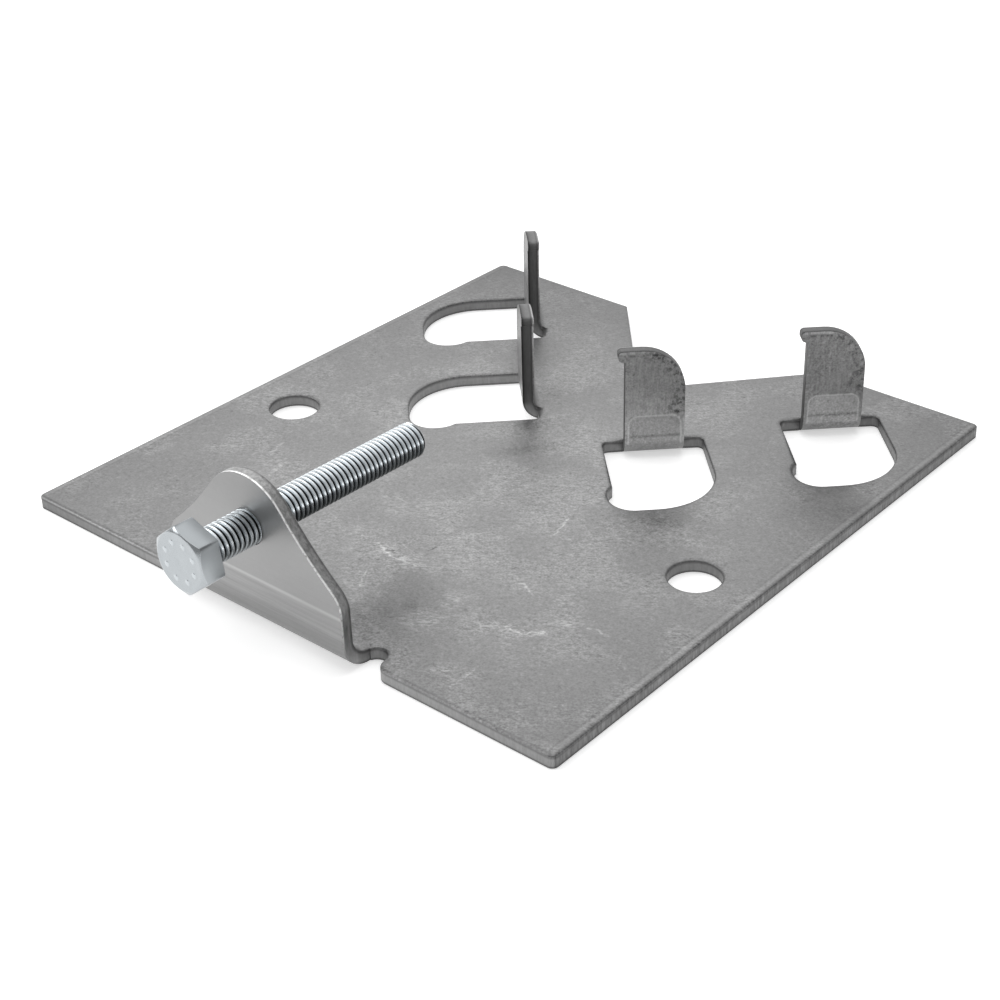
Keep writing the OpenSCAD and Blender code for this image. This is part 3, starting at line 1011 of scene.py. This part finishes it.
def threaded_screw(look, material):
    """Screw of a thread, a disc at each of its ends, and a head, as one mesh."""
    start, along, _, _ = screw_axes()
    length = float((SCREW[1][1] - start[1]) / along[1])
    inside = look.root_r - 0.02 * MM
    parts = [thread_part(look, length, inside), end_part(-NECK, inside, True),
             end_part(length, inside, False), head_part(look)]
    faces, base = [], 0
    for points, _, corners in parts:
        faces += (corners + base).tolist()
        base += len(points)
    points = np.vstack([part[0] for part in parts])
    down = np.concatenate([part[1] for part in parts])
    thread = np.arange(base) < base - len(parts[-1][0])
    return mesh_object("threaded_screw", points, faces, material,
                       {"down": down, "thread": thread}, merge=1e-7, smooth=35.0)


# ---------------------------------------------------------------- studio

def add_floor(look):
    """Square floor just under the part."""
    half = FLOOR_HALF
    corners = np.array([[-half, -half, 0], [half, -half, 0], [half, half, 0], [-half, half, 0]])
    floor = mesh_object("floor", corners, [(0, 1, 2, 3)], floor_material(look))
    floor.data.transform(Matrix.Translation((0, 0, -FLOOR_DROP)))


def add_sky(scene, look):
    """Sky, brightest high at the left and rear, dimmest low at the right and front. The camera
    itself sees plain white past the floor."""
    world = bpy.data.worlds.new("soft_sky")
    b = emptied(world)
    way = b.add("ShaderNodeTexCoord").outputs["Generated"]
    lit = b.vector("DOT_PRODUCT", way, SKY_TOWARDS)
    bright = b.plus(b.ramp(lit, 0.30, 0.88, 0.43, 0.95), b.ramp(lit, 0.88, 1.0, 0.0, 0.85))
    seen = b.add("ShaderNodeLightPath").outputs["Is Camera Ray"]
    back = b.add("ShaderNodeBackground", None, {
        "Color": (1, 1, 1, 1), "Strength": b.mix(seen, b.times(bright, look.sky), 1.0)})
    b.add("ShaderNodeOutputWorld", None, {"Surface": back.outputs[0]})
    scene.world = world


def add_lamp(name, place, size, power):
    """Square soft light, aimed at the origin."""
    lamp = bpy.data.lights.new(name, "AREA")
    lamp.energy, lamp.size = power, size
    aim = (-Vector(place)).to_track_quat("-Z", "Y")
    placed(name, lamp).matrix_world = Matrix.LocRotScale(place, aim, None)


def add_camera(scene, look):
    """Camera of the photograph, from its place, its yaw, its pitch down and its roll."""
    lens = bpy.data.cameras.new("camera")
    lens.sensor_width, lens.lens = 36.0, look.focal
    lens.shift_x, lens.shift_y = CAMERA_SHIFT, 0.0
    lens.clip_start, lens.clip_end = 0.01, 20
    yaw, pitch, roll = np.radians(CAMERA_YAW_PITCH_ROLL)
    ahead = np.array([-math.sin(yaw) * math.cos(pitch), math.cos(yaw) * math.cos(pitch),
                      -math.sin(pitch)])
    level = np.array([math.cos(yaw), math.sin(yaw), 0])
    upright = np.cross(level, ahead)
    right = math.cos(roll) * level + math.sin(roll) * upright
    up = -math.sin(roll) * level + math.cos(roll) * upright
    turn = Matrix(np.column_stack([right, up, -ahead]).tolist())
    camera = placed("camera", lens)
    camera.matrix_world = Matrix.Translation(CAMERA_PLACE) @ turn.to_4x4()
    scene.camera = camera


# ---------------------------------------------------------------- operators

class BASE_OT_sheet(bpy.types.Operator):
    """Makes the folded sheet with rolled edges and stands it in for the CAD sheet."""

    bl_idname = "base.sheet"
    bl_label = "Folded sheet"

    def execute(self, context):
        look = context.scene.sheet_look
        made = rolled_sheet(look, steel_material(look))
        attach(made, "plate")
        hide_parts("base_plate")
        return {"FINISHED"}


class BASE_OT_screw(bpy.types.Operator):
    """Makes the threaded screw and stands it in for the CAD screw."""

    bl_idname = "base.screw"
    bl_label = "Clamping screw"

    def execute(self, context):
        look = context.scene.screw_look
        made = threaded_screw(look, zinc_material(look))
        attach(made, "screw")
        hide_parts("clamp_bolt")
        return {"FINISHED"}


class BASE_OT_studio(bpy.types.Operator):
    """Makes the floor, the soft light and the camera."""

    bl_idname = "base.studio"
    bl_label = "Studio"

    def execute(self, context):
        scene, look = context.scene, context.scene.studio_look
        add_floor(look)
        add_sky(scene, look)
        add_lamp("key_light", (-0.75, -0.55, 0.55), 0.6, look.key)
        add_lamp("top_light", (-0.05, 0.0, 1.2), 0.9, look.top)
        add_camera(scene, look)
        scene.view_settings.view_transform = "Standard"
        return {"FINISHED"}


class BASE_PT_panel(bpy.types.Panel):
    """Lists the pieces, with their sizes and colours."""

    bl_idname = "BASE_PT_panel"
    bl_label = "Base plate"
    bl_space_type = "VIEW_3D"
    bl_region_type = "UI"
    bl_category = "Base plate"

    def draw(self, context):
        for look, operator in (("sheet_look", BASE_OT_sheet), ("screw_look", BASE_OT_screw),
                               ("studio_look", BASE_OT_studio)):
            box = self.layout.box()
            box.operator(operator.bl_idname)
            group = getattr(context.scene, look)
            for name in group.bl_rna.properties.keys():
                if name not in ("rna_type", "name"):
                    box.prop(group, name)


CLASSES = (SheetLook, ScrewLook, StudioLook,
           BASE_OT_sheet, BASE_OT_screw, BASE_OT_studio, BASE_PT_panel)


def register():
    for each in CLASSES:
        bpy.utils.register_class(each)
    bpy.types.Scene.sheet_look = PointerProperty(type=SheetLook)
    bpy.types.Scene.screw_look = PointerProperty(type=ScrewLook)
    bpy.types.Scene.studio_look = PointerProperty(type=StudioLook)


def unregister():
    del bpy.types.Scene.sheet_look, bpy.types.Scene.screw_look, bpy.types.Scene.studio_look
    for each in reversed(CLASSES):
        bpy.utils.unregister_class(each)


def main():
    register()
    bpy.ops.base.studio()
    bpy.ops.base.sheet()
    bpy.ops.base.screw()


if __name__ == "__main__":
    main()
